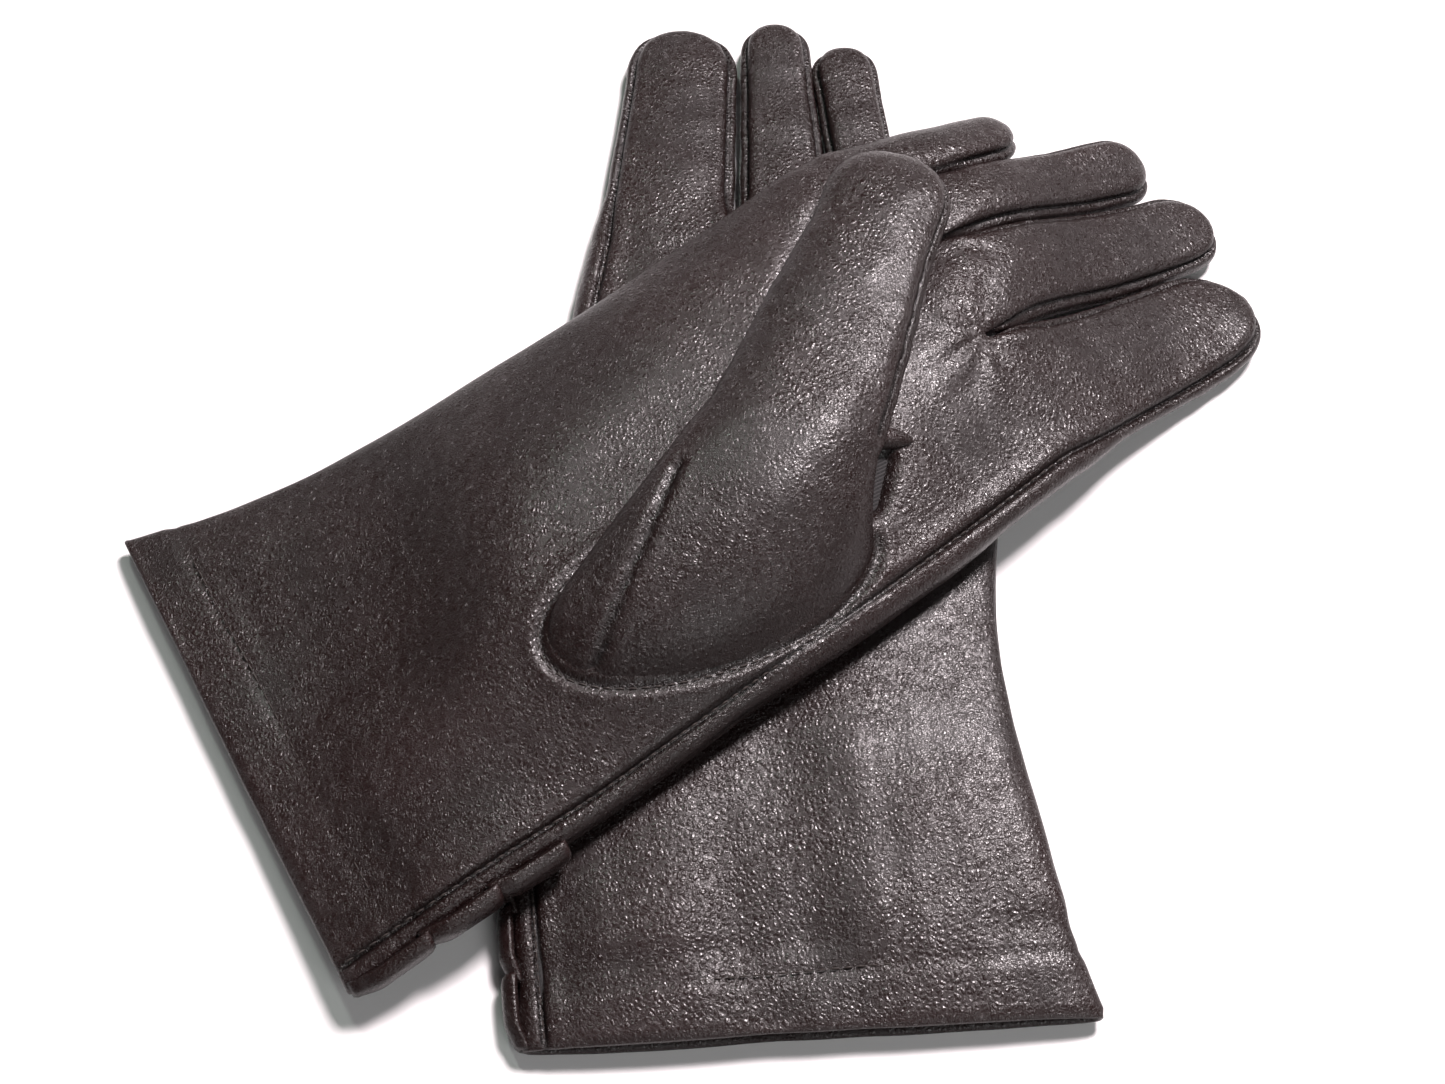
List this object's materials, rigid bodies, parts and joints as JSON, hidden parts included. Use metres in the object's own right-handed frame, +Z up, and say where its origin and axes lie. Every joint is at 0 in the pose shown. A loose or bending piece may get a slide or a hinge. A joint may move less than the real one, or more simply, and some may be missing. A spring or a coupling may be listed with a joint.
{
  "type": "leather gloves",
  "caption": "Short lined leather dress gloves lying palm up, one across the other, with hinged fingers and thumbs and open cuffs.",
  "frame": {"origin": "on the resting surface, below the centre of the pair's bounding box", "axes": "+Z up from the surface that the pair lies on; +Y from the left glove's cuff towards its fingertips; +X towards the right glove's index fingertip"},
  "size_m": [0.2548, 0.2563, 0.0404],
  "materials": {
    "leather": "smooth dark brown nappa with a fine pebble grain, satin",
    "turned_edge": "smooth dark brown leather, folded edges, satin",
    "lining": "soft dark knitted lining",
    "thread": "dark brown sewing thread"
  },
  "bodies": {
    "left_glove": {"left_trank": "leather", "left_fourchette_index_middle": "leather", "left_fourchette_middle_ring": "leather", "left_fourchette_ring_little": "leather", "left_thumb_root": "leather", "left_thumb_quirk": "leather", "left_hand_lining": "lining", "left_cuff_hem": "turned_edge", "left_back_tuck_1": "turned_edge", "left_back_tuck_2": "turned_edge", "left_back_tuck_3": "turned_edge", "left_side_seam_thread": "thread", "left_thumb_seam_thread": "thread", "left_hem_thread": "thread"},
    "left_index": {"left_index_finger": "leather", "left_index_finger_lining": "lining"},
    "left_middle": {"left_middle_finger": "leather", "left_middle_finger_lining": "lining"},
    "left_ring": {"left_ring_finger": "leather", "left_ring_finger_lining": "lining"},
    "left_little": {"left_little_finger": "leather", "left_little_finger_lining": "lining"},
    "left_thumb": {"left_thumb": "leather", "left_thumb_lining": "lining"},
    "right_glove": {"right_trank": "leather", "right_fourchette_index_middle": "leather", "right_fourchette_middle_ring": "leather", "right_fourchette_ring_little": "leather", "right_thumb_root": "leather", "right_thumb_quirk": "leather", "right_hand_lining": "lining", "right_cuff_hem": "turned_edge", "right_back_tuck_1": "turned_edge", "right_back_tuck_2": "turned_edge", "right_back_tuck_3": "turned_edge", "right_side_seam_thread": "thread", "right_thumb_seam_thread": "thread", "right_hem_thread": "thread"},
    "right_index": {"right_index_finger": "leather", "right_index_finger_lining": "lining"},
    "right_middle": {"right_middle_finger": "leather", "right_middle_finger_lining": "lining"},
    "right_ring": {"right_ring_finger": "leather", "right_ring_finger_lining": "lining"},
    "right_little": {"right_little_finger": "leather", "right_little_finger_lining": "lining"},
    "right_thumb": {"right_thumb": "leather", "right_thumb_lining": "lining"}
  },
  "joints": [
    {"name": "right_glove_lift", "type": "slide", "parent": "left_glove", "child": "right_glove", "axis": [0, 0, 1], "range_m": [0, 0.12]},
    {"name": "right_index_curl", "type": "hinge", "parent": "right_glove", "child": "right_index", "pos_m": [0.09204, 0.02505, 0.01656], "axis": [0.5442, -0.8131, -0.2067], "range_deg": [0, 60]},
    {"name": "right_middle_curl", "type": "hinge", "parent": "right_glove", "child": "right_middle", "pos_m": [0.07949, 0.04925, 0.0217], "axis": [0.4431, -0.8737, -0.2006], "range_deg": [0, 60]},
    {"name": "right_ring_curl", "type": "hinge", "parent": "right_glove", "child": "right_ring", "pos_m": [0.06674, 0.06604, 0.02524], "axis": [0.4117, -0.911, 0.0244], "range_deg": [0, 60]},
    {"name": "right_little_curl", "type": "hinge", "parent": "right_glove", "child": "right_little", "pos_m": [0.0526, 0.07774, 0.02526], "axis": [0.4313, -0.8926, 0.1315], "range_deg": [0, 60]},
    {"name": "right_thumb_swing", "type": "hinge", "parent": "right_glove", "child": "right_thumb", "pos_m": [0.01989, -0.00248, 0.03987], "axis": [0.938, -0.3433, -0.0472], "range_deg": [0, 60]},
    {"name": "left_index_curl", "type": "hinge", "parent": "left_glove", "child": "left_index", "pos_m": [-0.00709, 0.08527, 0.00915], "axis": [0.9979, -0.0642, 0], "range_deg": [0, 60]},
    {"name": "left_middle_curl", "type": "hinge", "parent": "left_glove", "child": "left_middle", "pos_m": [0.019, 0.08679, 0.00913], "axis": [0.9988, 0.0496, 0], "range_deg": [0, 60]},
    {"name": "left_ring_curl", "type": "hinge", "parent": "left_glove", "child": "left_ring", "pos_m": [0.03768, 0.09118, 0.00899], "axis": [0.9909, 0.1348, 0], "range_deg": [0, 60]},
    {"name": "left_little_curl", "type": "hinge", "parent": "left_glove", "child": "left_little", "pos_m": [0.05832, 0.07402, 0.00901], "axis": [0.9954, 0.0962, 0], "range_deg": [0, 45]},
    {"name": "left_thumb_swing", "type": "hinge", "parent": "left_glove", "child": "left_thumb", "pos_m": [0.00616, 0.00913, 0.01635], "axis": [0.7727, -0.6347, 0], "range_deg": [0, 45]}
  ],
  "couplings": [
    {"joint": "left_thumb_swing", "follows": "right_glove_lift", "rad_per_m": 5},
    {"joint": "left_little_curl", "follows": "right_glove_lift", "rad_per_m": 5}
  ]
}
